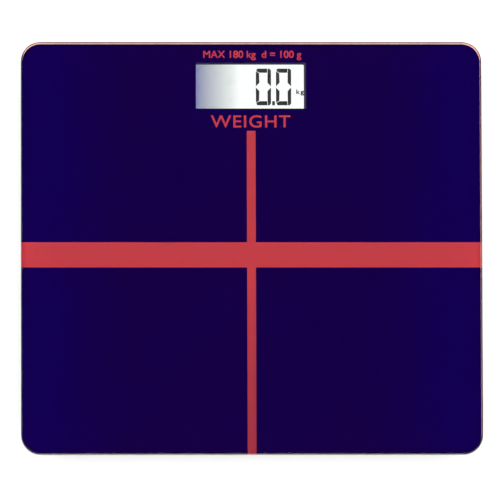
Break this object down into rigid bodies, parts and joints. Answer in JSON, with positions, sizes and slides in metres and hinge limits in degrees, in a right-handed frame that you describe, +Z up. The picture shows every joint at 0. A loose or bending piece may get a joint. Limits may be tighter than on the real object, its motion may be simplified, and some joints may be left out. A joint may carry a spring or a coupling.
{
  "type": "digital personal scale",
  "caption": "Digital personal scale: a blue printed glass platform with a red cross, a display window, a slim moulded base and load-cell feet.",
  "frame": {"origin": "on the floor, under the middle of the platform", "axes": "+Z up; +Y towards the display end, away from the person; +X to the person's right"},
  "size_m": [0.31, 0.28, 0.025],
  "materials": {
    "platform_glass": "polished, ground edges",
    "blue_ink": "screen-printed coat behind glass",
    "red_ink": "screen-printed coat behind glass",
    "foam": "closed-cell foam tape",
    "tray_plastic": "fine moulded texture",
    "bezel_plastic": "satin",
    "lcd_glass": "clear",
    "light_guide": "clear acrylic",
    "lamp": "clear resin",
    "connector_rubber": "striped silicone",
    "board": "solder mask",
    "epoxy": "cured resin",
    "component": "ceramic",
    "screw_steel": "zinc plated",
    "cell_steel": "stamped, nickel plated",
    "contact_steel": "nickel plated",
    "sealant": "cured silicone",
    "battery_case": "printed sleeve",
    "button_plastic": "fine moulded texture",
    "pad_rubber": "matt, moulded rings",
    "red_insulation": "extruded",
    "white_insulation": "extruded",
    "black_insulation": "extruded"
  },
  "bodies": {
    "platform": {"glass_platform": "platform_glass", "blue_print_coat": "blue_ink", "red_cross_print": "red_ink", "foam_tape": "foam", "base_tray": "tray_plastic", "window_gasket": "foam", "display_bezel": "bezel_plastic", "lcd_polarizer": "lcd_glass", "lcd_cell": "lcd_glass", "backlight_panel": "light_guide", "backlight_leds": "lamp", "zebra_strips": "connector_rubber", "circuit_board": "board", "controller_blob": "epoxy", "board_components": "component", "display_screws": "screw_steel", "switch_body": "bezel_plastic", "battery_upper": "battery_case", "battery_lower": "battery_case", "battery_springs": "contact_steel", "battery_link_plate": "contact_steel", "battery_end_plates": "contact_steel", "gauge_sealant": "sealant", "load_cell_retainers": "tray_plastic", "retainer_screws": "screw_steel", "red_wires": "red_insulation", "white_wires": "white_insulation", "black_wires": "black_insulation", "load_cell_front_left": "cell_steel", "load_cell_front_right": "cell_steel", "load_cell_rear_left": "cell_steel", "load_cell_rear_right": "cell_steel"},
    "foot_front_left": {"foot_cup_front_left": "tray_plastic", "foot_pad_front_left": "pad_rubber"},
    "foot_front_right": {"foot_cup_front_right": "tray_plastic", "foot_pad_front_right": "pad_rubber"},
    "foot_rear_left": {"foot_cup_rear_left": "tray_plastic", "foot_pad_rear_left": "pad_rubber"},
    "foot_rear_right": {"foot_cup_rear_right": "tray_plastic", "foot_pad_rear_right": "pad_rubber"},
    "door": {"battery_door": "tray_plastic"},
    "button": {"unit_button": "button_plastic", "switch_plunger": "button_plastic"}
  },
  "joints": [
    {"name": "foot_slide_front_left", "type": "slide", "parent": "platform", "child": "foot_front_left", "axis": [0, 0, 1], "range_m": [-0.0005, 0]},
    {"name": "foot_slide_front_right", "type": "slide", "parent": "platform", "child": "foot_front_right", "axis": [0, 0, 1], "range_m": [-0.0005, 0]},
    {"name": "foot_slide_rear_left", "type": "slide", "parent": "platform", "child": "foot_rear_left", "axis": [0, 0, 1], "range_m": [-0.0005, 0]},
    {"name": "foot_slide_rear_right", "type": "slide", "parent": "platform", "child": "foot_rear_right", "axis": [0, 0, 1], "range_m": [-0.0005, 0]},
    {"name": "door_hinge", "type": "hinge", "parent": "platform", "child": "door", "pos_m": [0, 0.0357, 0.0052], "axis": [-1, 0, 0], "range_deg": [0, 100]},
    {"name": "button_press", "type": "slide", "parent": "platform", "child": "button", "axis": [0, 0, 1], "range_m": [0, 0.0004], "stiffness_N_per_m": 400, "springref_m": -0.001}
  ]
}
